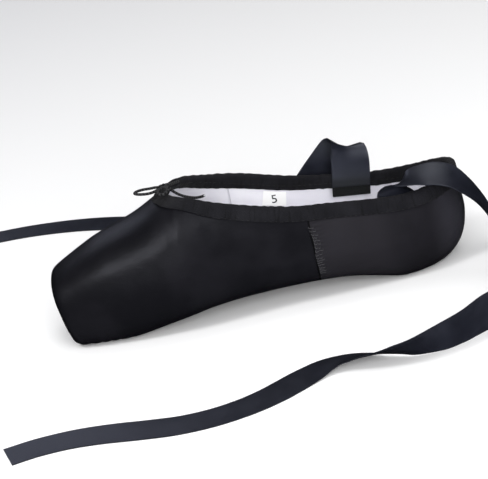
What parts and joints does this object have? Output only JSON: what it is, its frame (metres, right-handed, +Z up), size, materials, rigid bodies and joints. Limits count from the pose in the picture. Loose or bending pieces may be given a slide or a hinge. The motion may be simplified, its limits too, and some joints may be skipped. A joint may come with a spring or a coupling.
{
  "type": "pointe shoe",
  "caption": "Ballet pointe shoe in black satin: stiff toe box with a flat platform, bound drawstring collar, leather outsole and two sewn ribbons.",
  "frame": {"origin": "on the floor, under the middle of the shoe's length and width", "axes": "-X towards the toe, +X towards the heel, +Z up; the shoe's long axis is y = 0"},
  "size_m": [0.3947, 0.3818, 0.0777],
  "materials": {
    "black satin": "satin over stiffened canvas, glossy",
    "binding cotton": "matte cotton tape",
    "tag cotton": "white woven tape",
    "sole leather": "dark leather, matte",
    "insole cloth": "pale cloth over board",
    "ribbon satin": "satin ribbon",
    "string cotton": "braided cotton"
  },
  "bodies": {
    "root": {"upper": "black satin", "collar_binding": "binding cotton", "size_tag": "tag cotton", "outsole": "sole leather", "insole": "insole cloth", "ribbon_near": "ribbon satin", "ribbon_far": "ribbon satin", "drawstring_knot": "string cotton", "drawstring_loop_toe": "string cotton", "drawstring_loop_heel": "string cotton", "drawstring_end_toe": "string cotton", "drawstring_end_heel": "string cotton"}
  },
  "joints": []
}
